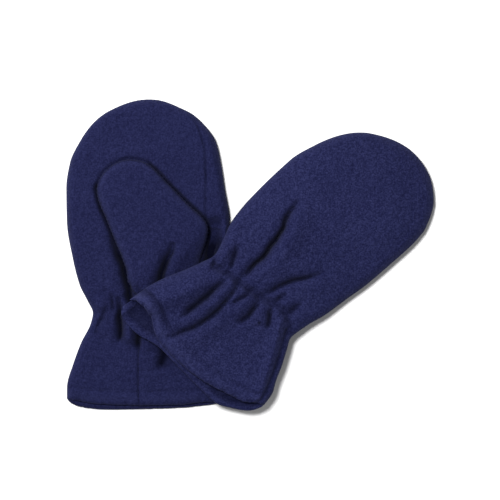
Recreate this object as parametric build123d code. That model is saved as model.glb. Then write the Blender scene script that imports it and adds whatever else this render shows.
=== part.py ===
"""A pair of adult fleece mittens, laid down as a pair: the right-hand one lies palm up, and the left-hand
one lies back up across its cuff and wrist.

Units are millimetres, +Z is up, and the pair rests on z = 0 with the middle of its footprint at the origin.

Each mitten is drawn in its own flat cloth frame (u, v, w). v runs from the cuff's hem to the fingertips,
u runs across towards the thumb side, and w runs from the back of the hand, at 0, to the palm.
A Lay then carries (u, v, w) into the row frame: as it stands for the right mitten, and with w turned
over and raised to lie on the other mitten for the left one.
"""

import math
import os

from build123d import *

# ---- fleece and trim
FLEECE = 2.6                 # thickness of one layer of fleece
HEM_DEPTH = 12.0             # width of the turned-in hem, which doubles the fleece at the mouth
HEM_LIP = 2.2                # how far the turned-in layer stands into the mouth
CLEAR = 0.3                  # air left between two layers that only lie on each other
ELASTIC_WIDTH = 8.0
ELASTIC_THICK = 1.2
THREAD_R = 0.35              # sewing thread, radius
THREAD_GAP = 2.0             # fleece between two runs of thread

# ---- the bag of the hand, in the cloth frame
SEAM_W = 9.0                 # height of the side seam that joins back and palm
# Cross-sections: v, half-width to the little finger, half-width to the thumb, w of the back, w of the palm.
RIGHT_BAG = [
    (0, 62, 66, 0, 17),
    (30, 58, 61, 0, 17),
    (55, 50, 53, 0, 17),
    (77, 41, 45, 0, 17),
    (100, 51, 57, 0, 20),
    (125, 57, 67, 0, 22),
    (152, 62, 73, 0, 22),
    (182, 63, 70, 0, 22),
    (202, 60, 66, 0, 21.5),
    (220, 51.5, 61.5, 0, 20.5),
    (235, 40.5, 51.5, 0.5, 18.5),
    (243, 31, 42, 1.5, 17),
    (249, 20, 30.5, 3, 15.5),
    (253.5, 7, 19, 6, 12.5),
]
LEFT_BAG = [
    (-7, 70, 70, 0, 17),
    (20, 65, 66, 0, 17),
    (45, 56, 55, 0, 17),
    (68, 49, 44, 0, 17),
    (92, 56, 47, 0, 20),
    (122, 62, 51, 0, 22),
    (150, 63, 54, 0, 22),
    (178, 60.5, 56, 0, 22),
    (195, 57, 57, 0, 22),
    (208, 52, 57, 0, 21.5),
    (220, 46.5, 54, 0, 20.5),
    (231, 37, 48, 0.5, 18.5),
    (240, 25, 38.5, 1.5, 17),
    (246, 13, 28, 4, 14),
    (250, 1, 14, 6, 12),
]
RIGHT_WRIST_V = 77.0         # the gathered wrists, measured from the hem
LEFT_WRIST_V = 68.0
LEFT_HEM_SLANT = 0.14        # the left hem runs aslant: rise along v per mm of u
HEM_EASE_V = 45.0            # the slant is gone this far up the cuff

# ---- the thumb, hinged on the crease that runs from its crotch to the middle of the wrist
CROTCH = (54.8, 150.2)       # (u, v) where the thumb leaves the side seam
WRIST_POINT = (-9.1, 98.8)   # (u, v) of the crease's other end, where the palm seam turns down to the hem
CREASE = 82.0                # length of that crease
LEFT_THUMB_SHIFT = -14.0     # the left thumb lies folded further under the hand
THUMB_BED_W = 22.3           # the thumb lies on the palm at this height
THUMB_TOP_W = 34.3
THUMB_SEAM_W = 26.8
# Cross-sections: distance from the crease, start and end along the crease from the crotch, bottom w, top w.
THUMB = [
    (CLEAR, 0, 82, THUMB_BED_W, THUMB_TOP_W),
    (20, 0.8, 72.5, THUMB_BED_W, THUMB_TOP_W),
    (41, 2.5, 65.5, THUMB_BED_W, THUMB_TOP_W),
    (62, 5, 59, THUMB_BED_W, THUMB_TOP_W),
    (76, 10.8, 54, THUMB_BED_W, 33.8),
    (84.5, 18, 48, 23, 32.6),
    (89.5, 26, 40, 24.5, 31),
]
# The root of the thumb swells out of the palm on the wrist side of the crease.
ROOT = [
    (0, 0, 82, 4, THUMB_TOP_W),
    (-12, 6, 77, 4, 29),
    (-24, 15, 69, 4, 21.5),
    (-32, 26, 60, 4, 17),
]
# The palm seam, and the front seam of the right mitten, which has rolled on to its palm side.
PALM_SEAM_U = 0.0
FRONT_SEAM_U = 55.0
FRONT_SEAM_FLARE = 0.37      # how fast that seam leaves the palm again below the wrist

# ---- how the two mittens lie
RIGHT_HEM = (-90.5, -123.3)
LEFT_HEM = (-46.9, -81.8)
LEFT_HEADING_DEG = 43.6      # above +X, towards the fingertips
# Height of the left mitten's upper face along v: on the other mitten, then on its own thumb, then the tip.
LEFT_TOP = [(-30, 43), (60, 43), (97, 34.7), (208, 34.7), (231, 28), (262, 18)]

REACH = 130.0                # half-size of the cutting solids, well past a mitten's outline


def between(table, v):
    """Value at v of a table whose rows start with v, straight between rows."""
    for (v0, *a), (v1, *b) in zip(table, table[1:]):
        if v <= v1:
            break
    t = (v - v0) / (v1 - v0)
    return [p + (q - p) * t for p, q in zip(a, b)]


class Lay:
    """Where a mitten lies: carries the cloth frame into the row frame."""

    def __init__(self, hem, heading_deg, turned_over=False, hem_slant=0.0, thumb_shift=0.0):
        self.hem = hem
        self.heading = math.radians(heading_deg)
        self.turned_over = turned_over
        self.hem_slant = hem_slant
        self.thumb_shift = thumb_shift

    def point(self, u, v, w):
        c, s = math.cos(self.heading), math.sin(self.heading)
        z = between(LEFT_TOP, v)[0] - w if self.turned_over else w
        return Vector(self.hem[0] + u * s + v * c, self.hem[1] - u * c + v * s, z)

    def aslant(self, u, v):
        """(u, v) with v moved as the hem's slant moves it."""
        return u, v + u * self.hem_slant * min(1.0, max(0.0, 1 - v / HEM_EASE_V))

    def along_crease(self, s, q):
        """(u, v) at s along the thumb's crease from the crotch, and q from it towards the thumb's tip."""
        du, dv = WRIST_POINT[0] - CROTCH[0], WRIST_POINT[1] - CROTCH[1]
        length = math.hypot(du, dv)
        u = CROTCH[0] + self.thumb_shift + (s * du + q * dv) / length
        return u, CROTCH[1] + (s * dv - q * du) / length


def flat_ring(lay, place, low, high, w0, w1):
    """A section with flat faces and round edges in a vertical plane. place(s) gives (u, v) at s across it."""
    r = (w1 - w0) / 2

    def at(s, w):
        return lay.point(*place(s), w)

    return Wire([
        Edge.make_line(at(low + r, w0), at(high - r, w0)),
        Edge.make_three_point_arc(at(high - r, w0), at(high, w0 + r), at(high - r, w1)),
        Edge.make_line(at(high - r, w1), at(low + r, w1)),
        Edge.make_three_point_arc(at(low + r, w1), at(low, w0 + r), at(low + r, w0)),
    ])


def bag(lay, sections, inset=0.0, mouth=0.0):
    """The hand and cuff as one closed form, inset all round, and longer at the mouth by mouth."""
    wires = []
    for k, (v, to_little, to_thumb, w0, w1) in enumerate(sections):
        at = v - mouth if k == 0 else v
        if w1 - w0 > 2 * inset + 2:
            sides = inset - to_little, to_thumb - inset
            wires.append(flat_ring(lay, lambda s, at=at: lay.aslant(s, at), *sides, w0 + inset, w1 - inset))
    return Solid.make_loft(wires, ruled=True)


def crease_form(lay, sections, inset=0.0, ahead=0.0):
    """A form whose sections stand along the crease. Inset spares its floor, and ahead lengthens one end."""
    wires = []
    for k, (q, s0, s1, w0, w1) in enumerate(sections):
        at = q + ahead if k == 0 else q
        sides = s0 + inset, s1 - inset
        wires.append(flat_ring(lay, lambda s, at=at: lay.along_crease(s, at), *sides, w0, w1 - inset))
    return Solid.make_loft(wires, ruled=True)


def slab(lay, outline, z0, z1):
    """A prism over a plan outline given in (u, v), between two heights of the row frame."""
    flat = [lay.point(u, v, 0) for u, v in outline]
    face = Face(Wire.make_polygon([Vector(p.X, p.Y, z0) for p in flat]))
    return Solid.extrude(face, Vector(0, 0, z1 - z0))


def crosswise(lay, v0, v1):
    """Everything of a mitten between two distances from the hem."""
    corners = [(-REACH, v0), (REACH, v0), (REACH, v1), (-REACH, v1)]
    return slab(lay, [lay.aslant(*corner) for corner in corners], -REACH, REACH)


def palm_side(lay):
    """Everything on the palm side of the side seam."""
    if not lay.turned_over:
        low = FRONT_SEAM_U + FRONT_SEAM_FLARE * (RIGHT_WRIST_V + 30)
        seam = [(low, -30), (FRONT_SEAM_U, RIGHT_WRIST_V), (FRONT_SEAM_U, 280)]
        return slab(lay, [(-REACH, -30), *seam, (-REACH, 280)], SEAM_W, REACH)
    wires = []
    for v, _ in LEFT_TOP:
        corners = [(-REACH, SEAM_W), (REACH, SEAM_W), (REACH, REACH), (-REACH, REACH)]
        wires.append(Wire.make_polygon([lay.point(u, v, w) for u, w in corners]))
    return Solid.make_loft(wires, ruled=True)


def heel_plan(lay, wrist_v):
    """The plan of the thumb-side panel: past the palm seam, and on the wrist side of the thumb's crease."""
    wrist_point, crotch = lay.along_crease(CREASE, 0), lay.along_crease(0, 0)
    seam_u = PALM_SEAM_U + lay.thumb_shift
    outline = [(seam_u, -30), (seam_u, wrist_v), wrist_point, crotch, (REACH, crotch[1]), (REACH, -30)]
    return slab(lay, outline, -REACH, REACH)


def biggest(shape):
    """The one solid of a shape, without the specks that a cut can leave."""
    return max(shape.solids(), key=lambda s: s.volume)


def panels(lay, sections, wrist_v):
    """The bag's wall, cut along its seams into the back, the palm and the heel of the thumb."""
    hem_v = sections[0][0]
    lip = bag(lay, sections, FLEECE + HEM_LIP, mouth=8)
    cavity = (bag(lay, sections, FLEECE, mouth=8) - crosswise(lay, hem_v - 20, hem_v + HEM_DEPTH)).fuse(lip)
    outer = bag(lay, sections)
    wall = outer - cavity
    palm_half, heel = palm_side(lay), heel_plan(lay, wrist_v)
    root_cavity = crease_form(lay, ROOT, FLEECE, ahead=5)
    swollen = (outer.fuse(crease_form(lay, ROOT)) & heel & palm_half) - cavity - root_cavity
    return {
        "back_panel": biggest(wall - palm_half),
        "palm_panel": biggest((wall & palm_half) - heel),
        "heel_panel": biggest(swollen),
    }


def thumb_panels(lay):
    """The thumb's wall, open at its root, cut along its seam into the outer and the inner half."""
    inner = [(q, s0 + FLEECE, s1 - FLEECE, w0 + FLEECE, w1) for q, s0, s1, w0, w1 in THUMB[:-1]]
    cavity = crease_form(lay, [(q, s0, s1, w0, w1 - FLEECE) for q, s0, s1, w0, w1 in inner], ahead=-2)
    wall = crease_form(lay, THUMB) - cavity
    plan = [lay.along_crease(s, q) for s, q in ((-20, -10), (110, -10), (110, 110), (-20, 110))]
    level = lay.point(0, CROTCH[1], THUMB_SEAM_W).Z
    below, above = slab(lay, plan, level - 60, level), slab(lay, plan, level, level + 60)
    outside, inside = (below, above) if lay.turned_over else (above, below)
    return {"thumb_front": biggest(wall & outside), "thumb_back": biggest(wall & inside)}


def wrist_elastic(lay, sections, wrist_v):
    """The band of elastic sewn round the inside of the wrist."""
    band = crosswise(lay, wrist_v - ELASTIC_WIDTH / 2, wrist_v + ELASTIC_WIDTH / 2)
    outside = bag(lay, sections, FLEECE + CLEAR) & band
    return biggest(outside - bag(lay, sections, FLEECE + CLEAR + ELASTIC_THICK))


def thread(route, closed=False):
    """Sewing thread along a route: one straight run between each two points, a gap short of the next."""
    ends = zip(route, route[1:] + route[:1] if closed else route[1:])
    made = []
    for a, b in ends:
        way = (b - a).normalized()
        length = (b - a).length - THREAD_GAP
        made.append(Solid.make_cylinder(THREAD_R, length, Plane(origin=a + way * THREAD_GAP / 2, z_dir=way)))
    return Compound(children=made)


def side_seam(lay, sections):
    """Up the little finger's side, over the tip and down the thumb's side, in the middle of the fleece."""
    deep = FLEECE / 2
    up = [(deep - row[1], row[0], SEAM_W) for row in sections]
    down = []
    for v, _, to_thumb, _, w1 in reversed(sections):
        rolled = not lay.turned_over and RIGHT_WRIST_V < v < 235
        down.append((FRONT_SEAM_U, v, w1 - deep) if rolled else (to_thumb - deep, v, SEAM_W))
    return [lay.point(*lay.aslant(u, v), w) for u, v, w in up + down]


def girdle(lay, sections, v, depth, runs=10):
    """Points round the bag at one distance from the hem, at a depth inside its surface."""
    to_little, to_thumb, w0, w1 = between(sections, v)
    low, high, r = depth - to_little, to_thumb - depth, (w1 - w0) / 2
    top, bottom = w1 - depth, w0 + depth
    us = [low + r + (high - low - 2 * r) * k / runs for k in range(runs + 1)]
    over = [(u, top) for u in reversed(us)]
    under = [(u, bottom) for u in us]
    return [lay.point(*lay.aslant(u, v), w) for u, w in [*under, (high, w0 + r), *over, (low, w0 + r)]]


def threads(lay, sections, wrist_v):
    """The thread of every seam of one mitten."""
    hem_v, deep, steps = sections[0][0], FLEECE / 2, 6
    palm = []
    for k in range(steps + 1):
        v = hem_v + 2 + (wrist_v - hem_v - 2) * k / steps
        palm.append(lay.point(PALM_SEAM_U + lay.thumb_shift, v, between(sections, v)[3] - deep))
    thumb = [(s1 - deep, q) for q, _, s1, _, _ in THUMB]
    thumb += [(s0 + deep, q) for q, s0, _, _, _ in reversed(THUMB)]
    return {
        "side_seam_thread": thread(side_seam(lay, sections)),
        "palm_seam_thread": thread(palm),
        "thumb_seam_thread": thread([lay.point(*lay.along_crease(s, q), THUMB_SEAM_W) for s, q in thumb]),
        "elastic_thread": thread(girdle(lay, sections, wrist_v, FLEECE), closed=True),
        "hem_thread": thread(girdle(lay, sections, hem_v + HEM_DEPTH - 3, deep), closed=True),
    }


def mitten(side, lay, sections, wrist_v):
    """All the pieces of one mitten, as {node name: shape}."""
    pieces = {
        **panels(lay, sections, wrist_v),
        **thumb_panels(lay),
        "wrist_elastic": wrist_elastic(lay, sections, wrist_v),
        **threads(lay, sections, wrist_v),
    }
    return {f"{side}_{name}": shape for name, shape in pieces.items()}


left_lay = Lay(LEFT_HEM, LEFT_HEADING_DEG, True, LEFT_HEM_SLANT, LEFT_THUMB_SHIFT)
pair = {
    **mitten("right", Lay(RIGHT_HEM, 90), RIGHT_BAG, RIGHT_WRIST_V),
    **mitten("left", left_lay, LEFT_BAG, LEFT_WRIST_V),
}
os.makedirs("parts", exist_ok=True)
for name, shape in pair.items():
    export_step(shape, f"parts/{name}.step")
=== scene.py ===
"""A pair of navy fleece mittens, modelled as sewn fleece: gathered wrists, turned hems and folded thumbs.

Lengths in the tables below are millimetres in each mitten's cloth frame, as in the CAD model: v runs from
the hem to the fingertips and u runs across, towards the thumb. Heights are millimetres above the table.
The right mitten lies palm up. The left one lies back up across its cuff.
"""

import math

import bmesh
import bpy
import numpy as np
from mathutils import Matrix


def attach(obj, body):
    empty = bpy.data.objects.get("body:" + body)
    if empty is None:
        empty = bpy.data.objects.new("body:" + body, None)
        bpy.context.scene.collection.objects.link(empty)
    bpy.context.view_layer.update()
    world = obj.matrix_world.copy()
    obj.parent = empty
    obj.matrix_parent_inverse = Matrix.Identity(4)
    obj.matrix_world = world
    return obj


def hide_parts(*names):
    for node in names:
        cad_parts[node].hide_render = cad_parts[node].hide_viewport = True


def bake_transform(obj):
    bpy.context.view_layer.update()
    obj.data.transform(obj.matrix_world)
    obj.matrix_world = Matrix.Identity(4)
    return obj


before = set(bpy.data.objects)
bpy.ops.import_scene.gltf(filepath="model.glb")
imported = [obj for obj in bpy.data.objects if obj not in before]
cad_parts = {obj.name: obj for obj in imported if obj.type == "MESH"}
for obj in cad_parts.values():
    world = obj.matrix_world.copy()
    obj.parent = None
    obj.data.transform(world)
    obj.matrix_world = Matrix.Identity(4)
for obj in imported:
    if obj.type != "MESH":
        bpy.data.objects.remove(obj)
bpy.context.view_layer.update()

# ---------------------------------------------------------------- the cloth and its sewing
MM = 0.001
SEED = 7
FLEECE = 2.6                                    # one layer
PANEL_START = 1.5                               # where a panel's rows begin, behind the roll of its hem
HEM_DEPTH = 12.0                                # how far the hem is turned in
HEM_EXTRA = 2.4                                 # what the turned-in layer adds to the wall
HEM_ROLL = 3.4                                  # how far the hem's edge bulges
HEM_REACH = 42.0                                # the hem's curve dies away over this length
HEM_ROW = HEM_DEPTH - 2.0                       # where the hem's stitches run
SEAM_IN = 0.8                                   # how far inside the edge the side seam's thread runs
ROW_SHARE = 0.93                                # share of the half-width that a row of stitches crosses
FOLD_GAIN = 1.4                                 # multiplies the depths and swells of the folds below
DARK_DEPTH = 4.6                                # a fold this deep, in the tables' terms, gets the full painted shade
UPPER_ROUND = 7.5                               # how far in from the seam the upper skin's round edge reaches
UNDER_ROUND = 10.0                              # and the lower skin's
THUMB_ROUND = (7.0, 6.0)                        # and those of the thumb's outer and inner faces
LAYER_GAP = 1.2                                 # room left between two layers at the bottom of a deep fold
PLEAT_SPACING = 10.5                            # the small gathers at the elastic
PLEAT_REACH = 15.0                              # and how far from it they die away
ELASTIC_HALF_WIDTH = 4.0
ELASTIC_RIBS = 5
ELASTIC_RIB_HEIGHT = 0.25
LINING_PAINTED_SHADE = 0.55                             # painted shade on the lining, which lies in shadow inside the mitten
UNDER_SKIN = 1.0                                # least height of a lower skin above the table
THUMB_UNDER = 0.5                               # least height of the left thumb above the table

# Density of the meshes: distance between the outer skin's rows and between the lining's, faces from seam to
# seam, rows round the roll of a hem, and the elastic's rows and faces across.
ROW_STEP = 1.05
LINING_STEP = 4.0
ACROSS = 150
ROLL_ROWS = 7
ELASTIC_ROWS = 33
ELASTIC_ACROSS = 60

# ---------------------------------------------------------------- the two mittens
# "hem" is where u = 0 and v = 0 lie on the table, "heading" is the way the fingers point, in degrees, "wrist"
# is v at the elastic, and "tip" is v and u at the fingertips.
# "outline" rows are v, the distance to the little finger's edge and the distance to the thumb's edge.
# "seam", "rise" and "drop" are the side seam's height, the upper skin's height over it and the lower skin's
# depth under it, along v. "droop" is how far the edges hang below the middle, and "band" is how plainly the
# hem's stitching shows, along u. "hem_upper" and "hem_lower" are how far each skin runs past v = 0, along u.
# "folds" rows are the path, how deep the crease is, its half-width, how high the cloth stands on the left of
# the path and on its right, and how wide that swell is. Its shade comes in slowly from the path's start.
# "grooves" rows are a seam's path, depth and half-width. "swells" rows are a path, height and half-width.
# "pinch" is the line that the elastic draws across the upper skin, and "pinch_depth" is its depth. "pleats"
# is the height of the small gathers. "palm_seam" is u at the palm's seam, "thumb_shift" moves the thumb along
# u, and "thumb_bend_height" is how high the thumb's crease lies.
RIGHT = {
    "side": "right",
    "palm_up": True,
    "seed": SEED,
    "hem": (-90.5, -123.3),
    "heading": 90.0,
    "wrist": 77.0,
    "tip": (255.2, 6.6),
    "outline": [
        (0, 62.3, 66.4), (10, 62.3, 65.6), (33, 57.3, 59.8), (52, 50.5, 53.1), (68, 42.5, 46.5),
        (77, 40.6, 44.8), (86, 44.5, 48.5), (100, 51.5, 56.4), (122, 57.3, 66.4), (153, 62.3, 73.7),
        (181, 62.8, 69.5), (202, 59.8, 66.4), (220, 51.5, 62.1), (235, 40.7, 51.5), (243.2, 31, 42),
        (249, 19.9, 30.4),
    ],
    "seam": [(0, 8.5), (260, 8.5)],
    "rise": [
        (0, 5.5), (40, 7.5), (77, 7.5), (100, 10.5), (130, 12.5), (200, 12.5), (225, 11), (245, 9), (256, 7),
    ],
    "drop": [(0, 8.4), (225, 8.4), (245, 7.5), (256, 6)],
    "droop": [(0, 0), (260, 0)],
    "band": [(-70, 0.35), (70, 0.35)],
    "hem_upper": [(-63, -4.5), (-58, -6), (-40, -3.3), (0, -1.8), (30, -2.2), (58, -4.8), (66, -3.2)],
    "hem_lower": [(-63, -4.2), (-48, 0.5), (-28, 2.0), (0, 1.6), (31, 0.6), (66, -3)],
    "folds": [
        ([(-18.3, 90), (-18.6, 76), (-17.8, 66), (-18.5, 52)], 5.0, 2.6, 1.8, 1.0, 8),
        ([(-25.7, 94), (-24.1, 86), (-23.5, 78)], 2.0, 1.8, 0.8, 0.8, 6),
        ([(-27, 84), (-31, 76), (-35.7, 67), (-38, 58)], 1.6, 2.2, 1.0, 0.6, 6),
        ([(-2.2, 74), (-2.4, 60), (-2.4, 46)], 5.0, 2.4, 1.5, 1.5, 7),
        ([(17, 66), (19, 48), (16, 28)], 4.0, 5.0, 0.8, 0.8, 12),
        ([(30, 88), (28, 74), (30, 58)], 3.0, 2.4, 1.2, 1.2, 7),
        ([(-25, 143), (-17.4, 123), (-14, 112), (-12.4, 103), (-9.5, 90), (-8, 78)], 8.0, 3.2, 0, 0.6, 6),
        ([(60, 148), (59, 138), (57.5, 124), (54, 98)], 5.5, 6.5, 0, 0, 8),
    ],
    # The palm seam, the seam beside the thumb, and the crevice that the folded thumb presses round itself.
    "grooves": [
        ([(-2.4, 60), (-2.3, 30), (-2.1, 0)], 1.5, 1.0),
        ([(36, 246), (43.2, 239.9), (49, 228), (53.1, 212.5), (54, 190), (53.9, 158.5),
          (54.8, 148)], 1.3, 1.1),
        ([(-9, 96), (-11, 103), (-16, 123.8), (-22.8, 139.6), (-29.6, 156.5), (-33.6, 165.5), (-36.8, 179.3),
          (-35.4, 187)], 5.4, 1.9),
        ([(-37, 178), (-35.6, 186), (-31.8, 193), (-26, 198.6), (-19.5, 202.6), (-9.5, 205), (3.8, 202.4),
          (10, 198)], 2.0, 1.7),
        ([(3.5, 202), (9.6, 198.2), (15.4, 193), (21.4, 186.4), (28, 179.7), (36, 171.5), (41.6, 166),
          (51.4, 157), (56.4, 149), (57, 136), (54, 122)], 4.8, 1.5),
    ],
    "swells": [
        ([(-8, 84), (-10, 70), (-9, 50)], 2.2, 4.5),
        ([(6, 84), (8, 60), (20, 30)], 1.6, 7.0),
        ([(62, 160), (60.5, 138), (57, 108)], -8.0, 6.5),
    ],
    "pinch": [(-41, 76.5), (-36, 77.5), (-28, 79), (-20, 78)],
    "pinch_depth": 1.2,
    "pleats": 0.9,
    "palm_seam": -2.3,
    "thumb_shift": 0.0,
    "thumb_bend_height": 28.0,
}
LEFT = {
    "side": "left",
    "palm_up": False,
    "seed": SEED + 1,
    "hem": (-46.9, -81.8),
    "heading": 43.6,
    "wrist": 71.0,
    "tip": (249.5, 7.0),
    "outline": [
        (0, 70.5, 69.5), (15, 67.5, 67.5), (30, 62.5, 63.5), (45, 56.5, 57.5), (60, 51.3, 49.3),
        (70, 48.6, 44.4), (80, 51.3, 45.6), (88, 54.5, 47), (102, 59.5, 50.5), (124, 62.3, 53.5),
        (147, 63, 56.5), (170, 62.6, 57.7), (194, 57.3, 58.5), (208, 52.3, 57.5), (219, 46.5, 53.8),
        (230.7, 37, 47.3), (239, 25.7, 38.5), (245.7, 12.5, 27),
    ],
    "seam": [(0, 33), (55, 33), (96, 25.5), (190, 25), (220, 19), (250, 9)],
    "rise": [(0, 9.5), (30, 8), (70, 8), (100, 10), (200, 10), (235, 9), (250, 7)],
    "drop": [(0, 7), (70, 7), (100, 11), (200, 11.5), (235, 8), (250, 5)],
    "droop": [(0, 0), (90, 0), (125, 6), (200, 7), (225, 4), (250, 0)],
    "band": [(-70, 1.6), (-40, 1.3), (-22, 0.45), (70, 0.45)],
    "hem_upper": [
        (-72, 14), (-70.5, 8), (-67, 1.5), (-60, -0.5), (-47, 1.4), (-35, 8.0), (-20, 10.5), (5, 8.8),
        (23, 5.1), (40, -0.7), (56, -6.8), (66, -15.2), (70, -13),
    ],
    "hem_lower": [
        (-72, 14), (-62, 19.5), (-50, 20), (-22, 13.5), (9, 13), (38, 12), (55, 3.2), (66, -6), (70, -12.5),
    ],
    "folds": [
        ([(-33, 152), (-29.5, 135), (-25.2, 126), (-23.2, 116), (-20.8, 104), (-19.9, 93.5), (-20.2, 84),
          (-20.4, 74)], 6.5, 2.0, 4.0, 0.5, 10),
        ([(-20.4, 74), (-17.4, 66.4), (-15.1, 53.3), (-14.0, 36.3), (-17.2, 19.2), (-22.2, 5.6),
          (-27.7, -6)], 3.4, 1.9, 2.4, 1.2, 8),
        ([(-24.5, 67), (-27.2, 58.6), (-28.8, 48), (-28.7, 41.6), (-29.4, 34), (-30.5, 24),
          (-29.5, 14)], 3.9, 2.4, 3.0, 0.8, 9),
        ([(24, 126), (19.7, 116), (13.5, 105.7), (9.9, 99.5), (6.6, 91.6), (4.3, 82.8),
          (2.3, 76)], 3.4, 1.6, 1.0, 1.6, 8),
        ([(-6.0, 73), (-6.4, 66), (-7.6, 60), (-9.5, 52)], 2.4, 1.6, 0.8, 0.8, 6),
        ([(4.6, 73), (5.6, 64), (6.3, 56.5), (5.6, 45)], 3.4, 1.9, 1.0, 1.4, 7),
        ([(16, 92), (13.6, 85), (13.2, 79)], 2.2, 1.8, 0.8, 0.8, 6),
        ([(15.4, 77), (19.0, 69), (24.7, 60)], 3.0, 1.9, 1.2, 1.6, 7),
        ([(-41, 92), (-39.2, 86), (-35.2, 78.6), (-31, 71)], 3.0, 2.6, 1.2, 1.0, 7),
        ([(-50, 70), (-45, 66.5), (-40.5, 64)], 2.6, 1.8, 0.8, 0.8, 6),
        ([(30, 95), (28, 86), (31, 79)], 2.2, 2.6, 0.8, 0.8, 7),
    ],
    # A small dark nick in the pile, the side seam over the cuff, and the same seam above the wrist.
    "grooves": [
        ([(16.6, 59), (18.6, 59)], 4.0, 0.8),
        ([(35.5, 75), (41, 65), (49.5, 51), (60.7, 27.6), (66.6, 9)], 3.2, 1.5),
        ([(42, 78), (43.2, 85), (48, 98), (51.3, 112), (53.5, 130), (54.5, 150)], 1.2, 1.1),
    ],
    "swells": [
        ([(-66, -40), (-58, -4), (-47, 26), (-35, 58)], 6.5, 10.0),
        ([(24.2, 76), (35.8, 61), (48.5, 39), (60, 18)], 4.6, 3.4),
        ([(-22, 72), (-21, 50), (-21.5, 30)], 2.0, 3.0),
    ],
    "pinch": [
        (-48.5, 66), (-39.3, 64.5), (-28.7, 68.6), (-19.4, 70), (-6.8, 72), (2.6, 74.5), (12.6, 78.2),
        (24.1, 80), (36, 76), (44.4, 70),
    ],
    "pinch_depth": 2.6,
    "pleats": 0.55,
    "palm_seam": -14.0,
    "thumb_shift": -14.0,
    "thumb_bend_height": 6.7,
}

# ---------------------------------------------------------------- the thumb
# Outline of the folded thumb in the right mitten's cloth frame: v, left edge, right edge. Its tip is v, u.
THUMB = [
    (56, 16, 26), (64, 12, 33), (76, 6, 39), (88, -1, 42.5), (96, -7, 44.5), (103, -10.5, 46),
    (112.5, -11.8, 47.5), (123.8, -15.6, 50), (139.6, -22.2, 54.6), (146, -24.8, 55.6),
    (151.5, -27, 54.4), (156.5, -29, 50.8), (165.5, -33, 41.1), (171.1, -35, 35.5), (179.3, -36.3, 27.6),
    (186, -35, 21), (192.6, -31.4, 15), (198, -26, 9.4), (202, -19.5, 3.5),
]
THUMB_TIP = (204.4, -9.5)
# The two ends of its crease.
CROTCH = (54.8, 150.2)
WRIST_POINT = (-9.1, 98.8)
# Heights of its outer and inner faces above the table, by distance past the crease, and of the seam between.
THUMB_TOP = [
    (-62, 11), (-48, 14.5), (-34, 18.5), (-24, 23), (-14, 28), (0, 33), (20, 34.2), (60, 34), (80, 32.5),
    (92, 31),
]
THUMB_BED = [(-62, 6), (-30, 10), (-12, 17), (0, 21.5), (20, 22.4), (95, 22.6)]
THUMB_SEAM = 0.36                               # share of the way from the inner face to the outer one
THUMB_TURNED = 34.3                             # the left thumb is upside down, its heights taken from here
THUMB_FOLDS = [
    ([(27.4, 136), (24.5, 128), (21.9, 122.7), (19.1, 114.8), (15.2, 104.6), (12, 92), (9, 78)],
     7.5, 2.7, 2.8, 1.0, 9),
    ([(-4, 100), (0, 88), (2, 76)], 2.0, 2.4, 0.8, 0.8, 6),
]

# ---------------------------------------------------------------- colours and lamps
# Fleece colours are the shaded, the middle and the lit end of the pile.
RIGHT_NAVY = [(0.0060, 0.0069, 0.0285), (0.0087, 0.0101, 0.0378), (0.0132, 0.0150, 0.0520)]
LEFT_NAVY = [(0.0059, 0.0068, 0.0285), (0.0099, 0.0115, 0.0422), (0.0174, 0.0197, 0.0630)]
FOLD_PAINTED_SHADE = (0.0012, 0.0014, 0.006)                # painted shade, deep in a fold or seam
PAINTED_HIGHLIGHT = (0.034, 0.038, 0.105)                  # painted highlight on hem rims and along the edges
THREAD_NAVY = [(0.004, 0.005, 0.019), (0.009, 0.010, 0.034)]
ELASTIC_NAVY = [(0.010, 0.011, 0.030), (0.020, 0.023, 0.055)]
SHEEN_TINT = (0.42, 0.45, 0.75, 1)
GROUND = (0.8, 0.8, 0.8, 1)
# Lamps: name, place in metres, size, power. The first rakes the folds, the second draws the close shadow.
LAMPS = [("rake", (-1.5, 1.45, 0.95), 0.5, 42.0), ("overhead", (-0.26, 0.26, 2.1), 0.25, 56.0)]
ROOM_LIGHT = 0.34
CAMERA_AT = (0.0, 0.0062, 2.5)                  # straight above the pair
VIEW_WIDTH = 0.415                              # what the camera takes in, in metres, at the cloth's height
CLOTH_HEIGHT = 0.022


# ---------------------------------------------------------------- curves and noise
def smooth(table, x):
    """A curve through (x, y) rows that never overshoots them, read at x."""
    xs, ys = np.array(table, float).T
    steps = np.diff(xs)
    slopes = np.diff(ys) / steps
    tangents = np.zeros(len(xs))
    tangents[0], tangents[-1] = slopes[0], slopes[-1]
    for k in range(1, len(xs) - 1):
        if slopes[k - 1] * slopes[k] > 0:
            a = 2 * steps[k] + steps[k - 1]
            b = steps[k] + 2 * steps[k - 1]
            tangents[k] = (a + b) / (a / slopes[k - 1] + b / slopes[k])
    x = np.clip(x, xs[0], xs[-1])
    k = np.clip(np.searchsorted(xs, x) - 1, 0, len(xs) - 2)
    t = (x - xs[k]) / steps[k]
    return (
        ys[k] * (1 + 2 * t) * (1 - t) ** 2
        + ys[k + 1] * t * t * (3 - 2 * t)
        + steps[k] * (tangents[k] * t * (1 - t) ** 2 - tangents[k + 1] * t * t * (1 - t))
    )


def soft_step(x, low, high):
    """0 below low, 1 above high, and a smooth rise between."""
    t = np.clip((x - low) / (high - low), 0, 1)
    return t * t * (3 - 2 * t)


def bell(x, width):
    """1 at x = 0, dying away smoothly over width on both sides."""
    return np.exp(-((x / width) ** 2))


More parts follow.
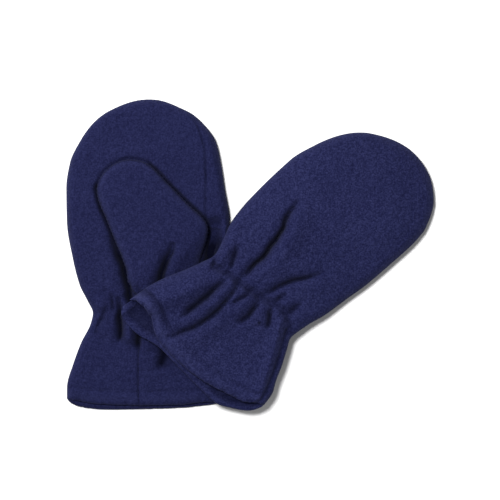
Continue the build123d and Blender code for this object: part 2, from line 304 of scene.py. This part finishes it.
class Grain:
    """Smooth random bumps over the plane, the same on every run."""

    LATTICE = 64

    def __init__(self, size, seed):
        self.size = size
        self.bumps = np.random.default_rng(seed).uniform(-1, 1, (self.LATTICE, self.LATTICE))

    def __call__(self, u, v):
        x = np.asarray(u) / self.size
        y = np.asarray(v) / self.size
        i = np.floor(x).astype(int)
        j = np.floor(y).astype(int)
        s = soft_step(x - i, 0, 1)
        t = soft_step(y - j, 0, 1)
        low = self.bump(i, j) * (1 - s) + self.bump(i + 1, j) * s
        high = self.bump(i, j + 1) * (1 - s) + self.bump(i + 1, j + 1) * s
        return low * (1 - t) + high * t

    def bump(self, i, j):
        return self.bumps[i % self.LATTICE, j % self.LATTICE]


def pile(u, v):
    """The matted clumps of the fleece's surface."""
    return 0.34 * Grain(1.8, SEED + 21)(u, v) + 0.22 * Grain(3.7, SEED + 22)(u, v)


def rounded_path(points, step=1.5):
    """A smooth line through points, as closely spaced points."""
    p = np.array(points, float)
    p = np.vstack([2 * p[0] - p[1], p, 2 * p[-1] - p[-2]])
    found = []
    for a, b, c, d in zip(p, p[1:], p[2:], p[3:]):
        count = max(2, int(np.linalg.norm(c - b) / step))
        for t in np.arange(count) / count:
            square = (2 * a - 5 * b + 4 * c - d) * t**2
            cube = (3 * b - a - 3 * c + d) * t**3
            found.append(0.5 * (2 * b + (c - a) * t + square + cube))
    return np.array(found + [p[-2]])


def offsets_from(a, b, flat):
    """How far along the run a to b each point's nearest place lies, and the way from there to the point."""
    way = b - a
    t = np.clip(((flat - a) @ way) / (way @ way), 0, 1)
    return t, flat - a - t[:, None] * way


def beside(path, u, v):
    """Distance of each (u, v) from a path, positive on its left, and the share of the path passed."""
    line = rounded_path(path)
    flat = np.stack([u.ravel(), v.ravel()], 1)
    best = np.full(len(flat), np.inf)
    side = np.zeros(len(flat))
    share = np.zeros(len(flat))
    for k, (a, b) in enumerate(zip(line, line[1:])):
        t, off = offsets_from(a, b, flat)
        r = np.hypot(off[:, 0], off[:, 1])
        near = r < best
        best[near] = r[near]
        turn = (b - a)[0] * off[near, 1] - (b - a)[1] * off[near, 0]
        side[near] = np.where(turn < 0, -1, 1)
        share[near] = (k + t[near]) / (len(line) - 1)
    return (best * side).reshape(u.shape), share.reshape(u.shape)


def ring_distance(low, high, stations, u, v):
    """Distance of each (u, v) from an outline, whose two edges are low and high at stations."""
    ring = np.concatenate([np.stack([low, stations], 1), np.stack([high, stations], 1)[::-1]])
    flat = np.stack([u.ravel(), v.ravel()], 1)
    best = np.full(len(flat), np.inf)
    for a, b in zip(ring, ring[1:]):
        # Points that coincide at the tip give no run.
        if np.linalg.norm(b - a) > 3e-5:
            off = offsets_from(a, b, flat)[1]
            best = np.minimum(best, np.linalg.norm(off, axis=1))
    return best.reshape(u.shape)


def closing_edge(rows, tip_v, v):
    """An edge's distance from the line through the tip, from (v, distance) rows, closing round at the tip."""
    squares = [(at, reach * abs(reach)) for at, reach in rows] + [(tip_v, 0)]
    found = smooth(squares, v)
    return np.sign(found) * np.sqrt(np.abs(found))


def rows_along(start, end, step, nose=26.0):
    """Stations from start to end, closer and closer over the last stretch, where the outline closes."""
    straight = np.linspace(start, end - nose, max(2, int((end - nose - start) / step)))
    closing = np.sin(np.linspace(0, np.pi / 2, int(nose * 1.7 / step) + 2)[1:])
    return np.concatenate([straight, end - nose + nose * closing])


def spread(low, high, count):
    """Places from low to high on each row, closer together towards both ends."""
    s = -np.cos(np.linspace(0, np.pi, count + 1))
    return (low + high)[:, None] / 2 + s * (high - low)[:, None] / 2


# ---------------------------------------------------------------- folds and seams
def crease(u, v, path, depth, width, left, right, swell):
    """Height and painted shade that a fold gives each (u, v): a sharp crease with the cloth standing beside
    it.
    """
    r, share = beside(path, u, v)
    away = np.abs(r)
    taper = np.sqrt(np.maximum(np.sin(np.pi * share), 0))
    notch = -depth / (1 + (away / width) ** 2) ** 1.5
    beyond = np.where(r > 0, left, right) * (away / swell) * np.exp(0.5 - 0.5 * (away / swell) ** 2)
    fade = soft_step(share, 0.0, 0.4) * soft_step(1 - share, 0.0, 0.2)
    core_and_flank = 0.92 * bell(away, 0.75 * width) + 0.25 * bell(away, 2.2 * width)
    return FOLD_GAIN * taper * (notch + beyond), min(depth / DARK_DEPTH, 1.15) * fade * core_and_flank


def groove(u, v, path, depth, width):
    """Height and painted shade of a seam sunk into the cloth."""
    r, share = beside(path, u, v)
    line = bell(r, width) * soft_step(share, 0.0, 0.06) * soft_step(1 - share, 0.0, 0.06)
    return -depth * line, min(depth / 6.0, 1.0) * line


def swelling(u, v, path, height, width):
    """Height of a long soft rise."""
    r, share = beside(path, u, v)
    return height * bell(r, width) * soft_step(share, 0.0, 0.2) * soft_step(1 - share, 0.0, 0.2)


def gathers(m, u, v, amount, seed):
    """Small pleats that fan out from the elastic and die away from it."""
    from_wrist = np.abs(v - m["wrist"])
    fanned = u / (1 + 0.006 * from_wrist)
    waves = np.cos(2 * np.pi * fanned / PLEAT_SPACING + 2.2 * Grain(9.0, seed)(u, v * 0.25))
    return amount * np.exp(-from_wrist / PLEAT_REACH) * waves


def upper_relief(m, u, v):
    """Height and painted shade of the upper skin's folds, swells, seams, gathers and softness."""
    seed = m["seed"]
    total = 0.9 * Grain(38.0, seed)(u, v) + 0.5 * Grain(17.0, seed + 2)(u, v)
    total = total + gathers(m, u, v, m["pleats"], seed + 5)
    for swell in m["swells"]:
        total = total + swelling(u, v, *swell)
    # Folds wander a little, as cloth does. Seams run true.
    wander_u = u + 0.9 * Grain(9.0, SEED + 41)(u, v) + 0.25 * Grain(3.5, SEED + 42)(u, v)
    wander_v = v + 0.9 * Grain(9.0, SEED + 43)(u, v)
    pinch, painted_shading = groove(u, v, m["pinch"], m["pinch_depth"], 3.0)
    marks = [crease(wander_u, wander_v, *fold) for fold in m["folds"]]
    marks += [groove(u, v, *seam) for seam in m["grooves"]]
    for height, shade in marks:
        total = total + height
        painted_shading = np.maximum(painted_shading, shade)
    return total + pinch, painted_shading


def lower_relief(m, u, v):
    """The same for the skin that faces the table: gathers, and the pinched line of the elastic."""
    line = [(-90, m["wrist"]), (0, m["wrist"] + 1), (90, m["wrist"])]
    pinch, painted_shading = groove(u, v, line, 2.2, 3.2)
    pleats = gathers(m, u, v, 1.3, SEED + 9)
    return pleats + pinch + 0.5 * Grain(21.0, SEED + 11)(u, v) - 0.5, painted_shading


def hem_band(m, u, v):
    """The thick turned hem, as a rounded band with a stitched dip: its height, the painted shade in the dip,
    and a painted highlight along the rolled rim.
    """
    share = smooth(m["band"], u)
    dip = share * bell(v - 10.5, 1.8)
    rim_painted_highlight = 0.3 * share * bell(v - 3, 3)
    return 1.8 * share * bell(v - 4.5, 4.2) - 0.9 * dip, 0.35 * dip, rim_painted_highlight


# ---------------------------------------------------------------- from cloth to table
def lay(m, u, v, z):
    """Cloth (u, v) and a height, in mm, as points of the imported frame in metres."""
    c = math.cos(math.radians(m["heading"]))
    s = math.sin(math.radians(m["heading"]))
    x = m["hem"][0] + u * s + v * c
    y = m["hem"][1] - u * c + v * s
    return np.stack([x, y, z], -1) * MM


def half_widths(m, v):
    """Distances from the line u = 0 to both edges at v."""
    tip_v, tip_u = m["tip"]
    little = closing_edge([(at, low + tip_u) for at, low, _ in m["outline"]], tip_v, v)
    thumb = closing_edge([(at, high - tip_u) for at, _, high in m["outline"]], tip_v, v)
    return little - tip_u, thumb + tip_u


def edge_distance(m, u, v):
    """Distance of each (u, v) inside the outline from the nearest edge."""
    stations = rows_along(-30, m["tip"][0], 3.0)
    little, thumb = half_widths(m, np.maximum(stations, 0))
    return ring_distance(-little, thumb, stations, u, v)


def crown(d, reach, flat=0.14, wide=46.0):
    """Share of the full height at a distance inside the edge: a quarter round, then a slow rise."""
    near = np.clip(d / reach, 0, 1)
    far = np.clip(d / wide, 0, 1)
    return (1 - flat) * np.sqrt(1 - (1 - near) ** 2) + flat * np.sqrt(1 - (1 - far) ** 2)


def seam_height(m, u, v):
    """Height of the surface through the side seams, which droop at the edges."""
    little, thumb = half_widths(m, np.clip(v, 0, m["tip"][0] - 2))
    share = np.clip(np.abs(2 * u + little - thumb) / (little + thumb), 0, 1)
    return smooth(m["seam"], v) - smooth(m["droop"], v) * share**2.5


def surface(m, upper, u, v, inset):
    """Where a skin lies over (u, v): v moved as the hem runs, the height, and the painted shade of its folds
    less a painted highlight at the hem's rim and along the edges.
    """
    past = smooth(m["hem_upper"] if upper else m["hem_lower"], u)
    at = v - past * (1 - soft_step(v, 0, HEM_REACH))
    d = edge_distance(m, u, np.maximum(v, 0)) - inset
    base = seam_height(m, u, v)
    full = smooth(m["rise"] if upper else m["drop"], v) - inset
    height = np.maximum(full, 0.3) * crown(np.maximum(d, 0), UPPER_ROUND if upper else UNDER_ROUND)
    relief, painted_shading = (upper_relief if upper else lower_relief)(m, u, at)
    band, dip, rim_painted_highlight = hem_band(m, u, v)
    height = height + (relief + band) * soft_step(d, 0.0, 7.0)
    # Painted highlight along the hem's rolled rim and just inside the edges is taken off the painted shade.
    painted_shading = np.maximum(painted_shading, dip) - rim_painted_highlight - 0.16 * bell(d, 2.4)
    if not upper:
        return at, np.maximum(base - height, UNDER_SKIN + inset), painted_shading
    # A deep fold stops where it meets the layers below.
    lowest = np.minimum(base - smooth(m["drop"], v) + 2 * FLEECE + LAYER_GAP, base) - inset
    return at, np.maximum(base + height, lowest), painted_shading


# ---------------------------------------------------------------- meshes
def add_mesh(name, points, faces, material):
    """A smooth-shaded mesh object in the scene."""
    mesh = bpy.data.meshes.new(name)
    mesh.from_pydata([tuple(p) for p in points], [], [tuple(f) for f in faces])
    mesh.validate()
    mesh.polygons.foreach_set("use_smooth", np.ones(len(mesh.polygons), bool))
    obj = bpy.data.objects.new(name, mesh)
    bpy.context.collection.objects.link(obj)
    mesh.materials.append(material)
    return obj


def face_outwards(obj):
    """Turn all faces of a closed piece outwards and keep its cut edges crisp."""
    work = bmesh.new()
    work.from_mesh(obj.data)
    bmesh.ops.recalc_face_normals(work, faces=work.faces)
    work.to_mesh(obj.data)
    work.free()
    obj.data.set_sharp_from_angle(angle=math.radians(65))


def shade_by(obj, painted_shading):
    """Keep the painted shade at each point, deepest in folds and seams, or the painted highlight where
    negative, for the material.
    """
    kept = obj.data.attributes.new("painted_shading", "FLOAT", "POINT")
    kept.data.foreach_set("value", np.clip(painted_shading, -1, 1).astype(np.float32).ravel())


def grid_faces(rows, columns, flip=False):
    """The four-cornered faces of a grid of points, wound the other way if flip."""
    k = np.arange(rows * columns).reshape(rows, columns)
    quads = np.stack([k[:-1, :-1], k[:-1, 1:], k[1:, 1:], k[1:, :-1]], -1).reshape(-1, 4)
    return quads[:, ::-1] if flip else quads


def ladder(a, a_rows, b, b_rows):
    """Triangles between two edges of different spacing, matched by how far along each point lies."""
    faces = []
    i = j = 0
    while i < len(a) - 1 or j < len(b) - 1:
        if j == len(b) - 1 or (i < len(a) - 1 and a_rows[i + 1] <= b_rows[j + 1]):
            faces.append((a[i], a[i + 1], b[j]))
            i += 1
        else:
            faces.append((a[i], b[j + 1], b[j]))
            j += 1
    return faces


# ---------------------------------------------------------------- body panels
def skin(m, upper, stations, inset):
    """One skin of a panel, seam to seam: u, v, height and shade. inset is given for each station."""
    little, thumb = half_widths(m, np.maximum(stations, 0))
    narrow = np.minimum(inset, 0.45 * (little + thumb))
    u = spread(-little + narrow, thumb - narrow, ACROSS)
    v = np.repeat(stations[:, None], ACROSS + 1, 1)
    return u, *surface(m, upper, u, v, inset[:, None])


def lining(m, upper, stations):
    """Points and painted shades of the inner skin, which stands further in where the hem is doubled."""
    doubled = FLEECE + HEM_EXTRA * (1 - soft_step(stations, HEM_DEPTH - 1, HEM_DEPTH + 3))
    u, v, z, painted_shading = skin(m, upper, stations, doubled)
    # Painted shade on the lining, fading in from the hem's edge.
    shade = LINING_PAINTED_SHADE * soft_step(stations, 2, 6)[:, None]
    return lay(m, u, v, z), np.broadcast_to(shade, painted_shading.shape)


def outer_skin(m, upper, stations):
    """Points and shades of the outer skin, with its pile."""
    u, v, z, painted_shading = skin(m, upper, stations, 0 * stations)
    raised = pile(u, v) * (1 if upper else -1)
    return lay(m, u, v, z + raised), painted_shading


def hem_roll(inner_end, outer_end, next_outer):
    """Rows that turn round the hem from the lining's last row to the outer skin's first."""
    before = outer_end - next_outer
    before = before / np.maximum(np.linalg.norm(before, axis=-1, keepdims=True), 1e-9)
    turn = np.linspace(0, np.pi, ROLL_ROWS + 2)[1:-1, None, None]
    centre = (inner_end + outer_end) / 2
    arm = (inner_end - outer_end) / 2
    # The roll is full along the hem and closes to nothing at the side seams.
    full = HEM_ROLL * MM * (1 - np.abs(np.linspace(-1, 1, ACROSS + 1)) ** 12)[:, None]
    return centre + arm * np.cos(turn) + before * np.sin(turn) * full


def panel_faces(inside, outside, upper):
    """Faces of a panel: the grid round its hem, and strips that close it along both side seams."""
    rows = len(inside) + ROLL_ROWS + len(outside)
    ids = np.arange(rows * (ACROSS + 1)).reshape(rows, ACROSS + 1)
    outer_rows = np.concatenate([np.full(ROLL_ROWS, -1.0), outside])
    faces = list(grid_faces(rows, ACROSS + 1, flip=upper))
    for column in (0, -1):
        inner_ids = ids[: len(inside), column][::-1]
        faces += ladder(ids[len(inside) :, column], outer_rows, inner_ids, inside)
    return faces


def panel(m, upper, name, nodes, material):
    """A panel of fleece from seam to seam, with its outer skin, the rolled hem and the lining."""
    outside = rows_along(PANEL_START, m["tip"][0], ROW_STEP)
    inside = rows_along(PANEL_START, m["tip"][0] - FLEECE, LINING_STEP)
    inner, inner_shade = lining(m, upper, inside[::-1])
    outer, outer_shade = outer_skin(m, upper, outside)
    roll = hem_roll(inner[-1], outer[0], outer[1])
    points = np.concatenate([inner, roll, outer]).reshape(-1, 3)
    obj = add_mesh(name, points, panel_faces(inside, outside, upper), material)
    face_outwards(obj)
    shade_by(obj, np.concatenate([inner_shade, np.zeros(roll.shape[:2]), outer_shade]))
    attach(obj, f"{m['side']}_mitten")
    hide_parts(*nodes)
    little, thumb = half_widths(m, outside)


# ---------------------------------------------------------------- thumbs
def crease_axis():
    """The unit direction of the thumb's crease, from the crotch to the wrist."""
    du = WRIST_POINT[0] - CROTCH[0]
    dv = WRIST_POINT[1] - CROTCH[1]
    length = math.hypot(du, dv)
    return du / length, dv / length


def thumb_relief(u, v):
    """Height and shade of the folds and the softness of the thumb's outer face."""
    relief = 0.5 * Grain(19.0, SEED + 31)(u, v) + 0.8 * Grain(34.0, SEED + 32)(u, v)
    wander = u + 1.1 * Grain(8.0, SEED + 44)(u, v)
    shade = np.zeros(u.shape)
    for fold in THUMB_FOLDS:
        height, painted_shading = crease(wander, v, *fold)
        relief = relief + height
        shade = np.maximum(shade, painted_shading)
    return relief, shade


def thumb_half(outer, stations):
    """The outer or inner half of the right thumb, from the wrist to its tip: u, v, height and shade."""
    tip_v, tip_u = THUMB_TIP
    low = tip_u - closing_edge([(at, tip_u - left) for at, left, _ in THUMB], tip_v, stations)
    high = tip_u + closing_edge([(at, right - tip_u) for at, _, right in THUMB], tip_v, stations)
    u = spread(low, high, 2 * ACROSS // 3)
    v = np.repeat(stations[:, None], u.shape[1], 1)
    d = ring_distance(low, high, stations, u, v)
    along_u, along_v = crease_axis()
    past_crease = (u - CROTCH[0]) * along_v - (v - CROTCH[1]) * along_u
    bed = smooth(THUMB_BED, past_crease)
    top = smooth(THUMB_TOP, past_crease)
    seam = bed + (top - bed) * THUMB_SEAM
    if outer:
        relief, shade = thumb_relief(u, v)
        z = seam + (top - seam) * crown(d, THUMB_ROUND[0]) + relief * soft_step(d, 0, 6) + pile(u, v)
    else:
        shade = np.zeros(u.shape)
        z = seam - (seam - bed) * crown(d, THUMB_ROUND[1])
    # Painted shade along the thumb's edge, where it presses into the palm, and a painted highlight on the rim
    # just inside it.
    edge_painted_shade = 0.5 * (1 - soft_step(d, 0.2, 2.0))
    return u, v, z, np.maximum(shade, edge_painted_shade) - 0.12 * bell(d - 3.2, 1.6)


def thumb_fleece(m, halves, shades, material):
    """The thumb's outer and inner halves as one piece."""
    rows, columns = halves[0].shape[:2]
    outer_faces = grid_faces(rows, columns, flip=True)
    inner_faces = grid_faces(rows, columns) + rows * columns
    faces = np.concatenate([outer_faces, inner_faces])
    obj = add_mesh(f"{m['side']}_thumb_fleece", np.stack(halves).reshape(-1, 3), faces, material)
    shade_by(obj, np.stack(shades))
    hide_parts(f"{m['side']}_thumb_front", f"{m['side']}_thumb_back")
    return obj


def thumb(m, rests_on, material, thread_material):
    """The folded thumb, its cloth shaped up over its crease, with the stitching round it."""
    side = m["side"]
    stations = rows_along(THUMB[0][0], THUMB_TIP[0], ROW_STEP, 14.0)
    halves = []
    shades = []
    for outer in (True, False):
        u, v, z, shade = thumb_half(outer, stations)
        z = z if m["palm_up"] else np.maximum(THUMB_TURNED - z, THUMB_UNDER)
        halves.append(lay(m, u + m["thumb_shift"], v, z))
        shades.append(shade)
    obj = thumb_fleece(m, halves, shades, material)
    # The stitches start a quarter of the way up, past the part that is sewn into the palm.
    sewn = halves[1][len(stations) // 4 :]
    edge = np.concatenate([sewn[:, 0], sewn[:, -1][::-1]])
    seam = thread(f"{side}_thumb_stitches", [edge], f"{side}_thumb_seam_thread", thread_material)
    for piece in (obj, seam):
        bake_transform(piece)


# ---------------------------------------------------------------- thread and elastic
STITCH_PITCH = 3.4 * MM
STITCH_LENGTH = 2.3 * MM
THREAD_RADIUS = 0.3 * MM
STITCH_SHAPE = (0.35, 0.9, 1.0, 0.9, 0.35)      # thickness along a stitch, which dives in at both ends
THREAD_SIDES = 6


def stitch(line):
    """Points and faces of one short run of thread along line."""
    way = line[-1] - line[0]
    way = way / max(np.linalg.norm(way), 1e-9)
    side = np.cross(way, (0.0, 0.0, 1.0))
    side = side / max(np.linalg.norm(side), 1e-9)
    up = np.cross(side, way)
    turns = np.arange(THREAD_SIDES) * 2 * np.pi / THREAD_SIDES
    ring = side * np.cos(turns)[:, None] + up * np.sin(turns)[:, None]
    points = [place + ring * thick * THREAD_RADIUS for place, thick in zip(line, STITCH_SHAPE)]
    faces = []
    for first in range(0, THREAD_SIDES * (len(line) - 1), THREAD_SIDES):
        for j in range(THREAD_SIDES):
            a = first + j
            b = first + (j + 1) % THREAD_SIDES
            faces.append((a, b, b + THREAD_SIDES, a + THREAD_SIDES))
    last = THREAD_SIDES * (len(line) - 1)
    faces.append(tuple(range(THREAD_SIDES))[::-1])
    faces.append(tuple(range(last, last + THREAD_SIDES)))
    return np.concatenate(points), faces


def thread(name, routes, node, material):
    """One object of short stitches along several routes of points in metres."""
    points = []
    faces = []
    for route in routes:
        steps = np.linalg.norm(np.diff(route, axis=0), axis=1)
        passed = np.concatenate([[0], np.cumsum(steps)])
        for start in np.arange(0.5 * STITCH_PITCH, passed[-1] - STITCH_LENGTH, STITCH_PITCH):
            at = np.linspace(start, start + STITCH_LENGTH, len(STITCH_SHAPE))
            corners, sides = stitch(np.stack([np.interp(at, passed, route[:, k]) for k in range(3)], 1))
            faces += [tuple(k + len(points) for k in face) for face in sides]
            points.extend(corners)
    obj = add_mesh(name, points, faces, material)
    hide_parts(node)
    return obj


def on_skin(m, upper, path, sunk):
    """A (u, v) path as points on a skin, sunk a little into the pile."""
    u, v = rounded_path(path).T
    at, z, _ = surface(m, upper, u, v, 0 * u)
    return lay(m, u, at, z - sunk * (1 if upper else -1))


def side_seam_route(m):
    """The line of the seam round the hand, from the hem to the tip and back."""
    stations = rows_along(2, m["tip"][0] - 0.5, 3.0)
    little, thumb = half_widths(m, stations)
    u = np.concatenate([SEAM_IN - little, (thumb - SEAM_IN)[::-1]])
    v = np.concatenate([stations, stations[::-1]])
    at = surface(m, False, u, v, 0 * u)[0]
    return lay(m, u, at, smooth(m["seam"], v) - smooth(m["droop"], v))


def row_across(m, v, middle_v):
    """A path across the mitten at v, nearly from edge to edge."""
    little, thumb = half_widths(m, np.array([v]))
    return [(-little[0] * ROW_SHARE, v), (0, middle_v), (thumb[0] * ROW_SHARE, v)]


def body_threads(m, material):
    """The side seam, the palm seam, the hem and the row that holds the elastic."""
    palm_seam = [(m["palm_seam"], v) for v in (66, 35, 3)]
    hem_row = row_across(m, HEM_ROW, HEM_ROW)
    wrist = m["wrist"]
    pinch = row_across(m, wrist, wrist) if m["palm_up"] else m["pinch"]
    under_pinch = row_across(m, wrist, wrist + 1)
    rows = [
        ("side", "side_seam", [side_seam_route(m)]),
        ("palm", "palm_seam", [on_skin(m, m["palm_up"], palm_seam, -0.2)]),
        ("hem", "hem", [on_skin(m, upper, hem_row, 0.35) for upper in (True, False)]),
        ("elastic", "elastic", [on_skin(m, True, pinch, 0.3), on_skin(m, False, under_pinch, 0.3)]),
    ]
    for row, seam, routes in rows:
        obj = thread(f"{m['side']}_{row}_stitches", routes, f"{m['side']}_{seam}_thread", material)
        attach(obj, f"{m['side']}_mitten")


def elastic_wall(m, inset, rib):
    """One face of the elastic: rows of points round the inside of the wrist, ribbed by rib along v."""
    v = m["wrist"] + np.linspace(-ELASTIC_HALF_WIDTH, ELASTIC_HALF_WIDTH, ELASTIC_ROWS)
    little, thumb = half_widths(m, v)
    u = spread(inset - little, thumb - inset, ELASTIC_ACROSS)
    v = np.repeat(v[:, None], u.shape[1], 1)
    loop = []
    for upper in (True, False):
        at, z, _ = surface(m, upper, u, v, inset + 0 * v)
        loop.append(lay(m, u, at, z + rib[:, None] * (-1 if upper else 1)))
    return np.concatenate([loop[0], loop[1][:, ::-1][:, 1:]], 1)


def elastic(m, material):
    """The ribbed band of elastic round the inside of the wrist."""
    rib = ELASTIC_RIB_HEIGHT * np.cos(np.linspace(0, 2 * np.pi * ELASTIC_RIBS, ELASTIC_ROWS))
    outer = elastic_wall(m, FLEECE + 0.5, 0 * rib)
    inner = elastic_wall(m, FLEECE + 1.7, rib)
    ring = np.concatenate([outer, inner[::-1], outer[:1]])
    obj = add_mesh(f"{m['side']}_elastic_band", ring.reshape(-1, 3), grid_faces(*ring.shape[:2]), material)
    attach(obj, f"{m['side']}_mitten")
    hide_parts(f"{m['side']}_wrist_elastic")


# ---------------------------------------------------------------- materials
class Cloth:
    """A Principled material with short ways to add the nodes that the cloths share."""

    def __init__(self, name, specular, sheen):
        self.material = bpy.data.materials.new(name)
        self.material.use_nodes = True
        self.nodes = self.material.node_tree.nodes
        self.links = self.material.node_tree.links
        self.shader = self.nodes["Principled BSDF"]
        self.shader.inputs["Specular IOR Level"].default_value = specular
        self.shader.inputs["Sheen Weight"].default_value = sheen
        self.shader.inputs["Sheen Roughness"].default_value = 0.55
        self.shader.inputs["Sheen Tint"].default_value = SHEEN_TINT
        self.place = self.nodes.new("ShaderNodeTexCoord").outputs["Object"]

    def noise(self, scale, detail, roughness=0.6):
        node = self.nodes.new("ShaderNodeTexNoise")
        node.inputs["Scale"].default_value = scale
        node.inputs["Detail"].default_value = detail
        node.inputs["Roughness"].default_value = roughness
        self.links.new(self.place, node.inputs["Vector"])
        return node.outputs["Fac"]

    def twist(self, scale, distortion):
        """Slanting ridges."""
        node = self.nodes.new("ShaderNodeTexWave")
        node.bands_direction = "DIAGONAL"
        node.inputs["Scale"].default_value = scale
        node.inputs["Distortion"].default_value = distortion
        self.links.new(self.place, node.inputs["Vector"])
        return node.outputs["Fac"]

    def attribute(self, name):
        node = self.nodes.new("ShaderNodeAttribute")
        node.attribute_name = name
        return node.outputs["Fac"]

    def sum(self, *parts):
        """The sum of (output, weight) parts."""
        total = None
        for output, weight in parts:
            node = self.nodes.new("ShaderNodeMath")
            node.operation = "MULTIPLY_ADD"
            node.inputs[1].default_value = weight
            node.inputs[2].default_value = 0.0
            self.links.new(output, node.inputs[0])
            if total:
                self.links.new(total, node.inputs[2])
            total = node.outputs[0]
        return total

    def ramp(self, value, stops):
        """A colour ramp over value, from (position, colour) stops."""
        node = self.nodes.new("ShaderNodeValToRGB")
        elements = node.color_ramp.elements
        for element, (position, color) in zip(elements, (stops[0], stops[-1])):
            element.position = position
            element.color = (*color, 1)
        for position, color in stops[1:-1]:
            elements.new(position).color = (*color, 1)
        self.links.new(value, node.inputs["Fac"])
        return node.outputs["Color"]

    def tint(self, color, other, share, weight):
        """color turned towards another colour by share times weight, held between none and all."""
        amount = self.nodes.new("ShaderNodeMath")
        amount.operation = "MULTIPLY"
        amount.use_clamp = True
        amount.inputs[1].default_value = weight
        self.links.new(share, amount.inputs[0])
        node = self.nodes.new("ShaderNodeMix")
        node.data_type = "RGBA"
        node.inputs["B"].default_value = (*other, 1)
        self.links.new(color, node.inputs["A"])
        self.links.new(amount.outputs[0], node.inputs["Factor"])
        return node.outputs["Result"]

    def finish(self, color, height, strength, depth, rough):
        """Join the colour, a bump, and a roughness that goes from rough's first value to its second."""
        bump = self.nodes.new("ShaderNodeBump")
        bump.inputs["Strength"].default_value = strength
        bump.inputs["Distance"].default_value = depth
        self.links.new(height, bump.inputs["Height"])
        by_height = self.nodes.new("ShaderNodeMapRange")
        by_height.inputs["From Min"].default_value = 0.35
        by_height.inputs["From Max"].default_value = 0.65
        by_height.inputs["To Min"].default_value = rough[0]
        by_height.inputs["To Max"].default_value = rough[1]
        self.links.new(height, by_height.inputs["Value"])
        self.links.new(color, self.shader.inputs["Base Color"])
        self.links.new(bump.outputs["Normal"], self.shader.inputs["Normal"])
        self.links.new(by_height.outputs["Result"], self.shader.inputs["Roughness"])
        return self.material


def fleece_material(name, colors):
    """Brushed fleece: a speckle of matted clumps, darkened by painted shade in folds and seams, paler with
    painted highlight at rims and edges.
    """
    cloth = Cloth(name, specular=0.03, sheen=0.03)
    broad, clumps, speckle = cloth.noise(22, 3), cloth.noise(300, 2), cloth.noise(780, 2, 0.65)
    height = cloth.sum((broad, 0.08), (clumps, 0.22), (speckle, 0.70))
    color = cloth.ramp(height, list(zip((0.40, 0.50, 0.62), colors)))
    painted_shading = cloth.attribute("painted_shading")
    # Painted shade from the attribute darkens the colour. Where the attribute is negative, painted highlight
    # lightens it.
    color = cloth.tint(color, FOLD_PAINTED_SHADE, painted_shading, 0.95)
    color = cloth.tint(color, PAINTED_HIGHLIGHT, painted_shading, -0.55)
    return cloth.finish(color, height, strength=0.7, depth=0.0011, rough=(1.0, 0.86))


def twisted_material(name, colors, turns):
    """Thread or elastic: ridges of twist at a slant, with the colour a little uneven along them."""
    cloth = Cloth(name, specular=0.08, sheen=0.02)
    height = cloth.sum((cloth.noise(500, 2), 0.4), (cloth.twist(turns, 1.2), 0.6))
    color = cloth.ramp(height, list(zip((0.25, 0.75), colors)))
    return cloth.finish(color, height, strength=0.5, depth=0.0002, rough=(0.6, 0.85))


def ground_material():
    material = bpy.data.materials.new("pale_ground")
    material.use_nodes = True
    shader = material.node_tree.nodes["Principled BSDF"]
    shader.inputs["Base Color"].default_value = GROUND
    shader.inputs["Roughness"].default_value = 0.9
    return material


# ---------------------------------------------------------------- the studio
def floor_and_room():
    """A pale floor under the mittens, and an even white light from all round."""
    bpy.ops.mesh.primitive_plane_add(size=6, location=(0, 0, 0))
    floor = bpy.context.object
    floor.name = "floor"
    floor.data.materials.append(ground_material())
    world = bpy.data.worlds.new("studio")
    bpy.context.scene.world = world
    world.use_nodes = True
    room = world.node_tree.nodes["Background"].inputs
    room["Color"].default_value = (1, 1, 1, 1)
    room["Strength"].default_value = ROOM_LIGHT


def lamps():
    """Soft square lamps, each turned to face the middle of the pair."""
    for name, place, size, power in LAMPS:
        light = bpy.data.lights.new(name, "AREA")
        light.size = size
        light.energy = power
        lamp = bpy.data.objects.new(name, light)
        lamp.location = place
        x, y, z = place
        lamp.rotation_euler = (math.atan2(math.hypot(x, y), z), 0, math.atan2(y, x) + math.pi / 2)
        bpy.context.collection.objects.link(lamp)


def camera():
    """A camera straight above the pair, with the colours shown plain."""
    data = bpy.data.cameras.new("camera")
    data.sensor_width = 36.0
    data.lens = data.sensor_width * (CAMERA_AT[2] - CLOTH_HEIGHT) / VIEW_WIDTH
    obj = bpy.data.objects.new("camera", data)
    obj.location = CAMERA_AT
    bpy.context.collection.objects.link(obj)
    bpy.context.scene.camera = obj
    bpy.context.scene.view_settings.view_transform = "Standard"


# ---------------------------------------------------------------- build
right_fleece = fleece_material("navy_fleece", RIGHT_NAVY)
left_fleece = fleece_material("navy_fleece_left", LEFT_NAVY)
navy_thread = twisted_material("navy_thread", THREAD_NAVY, 900)
navy_elastic = twisted_material("navy_elastic", ELASTIC_NAVY, 420)

# From the table up.
right_palm_nodes = ["right_palm_panel", "right_heel_panel"]
left_palm_nodes = ["left_palm_panel", "left_heel_panel"]
panel(RIGHT, False, "right_back_fleece", ["right_back_panel"], right_fleece)
panel(RIGHT, True, "right_palm_fleece", right_palm_nodes, right_fleece)
panel(LEFT, False, "left_palm_fleece", left_palm_nodes, left_fleece)
panel(LEFT, True, "left_back_fleece", ["left_back_panel"], left_fleece)
thumb(RIGHT, "right_palm_fleece", right_fleece, navy_thread)
thumb(LEFT, "floor", left_fleece, navy_thread)
for mitten in (RIGHT, LEFT):
    body_threads(mitten, navy_thread)
    elastic(mitten, navy_elastic)

floor_and_room()
lamps()
camera()
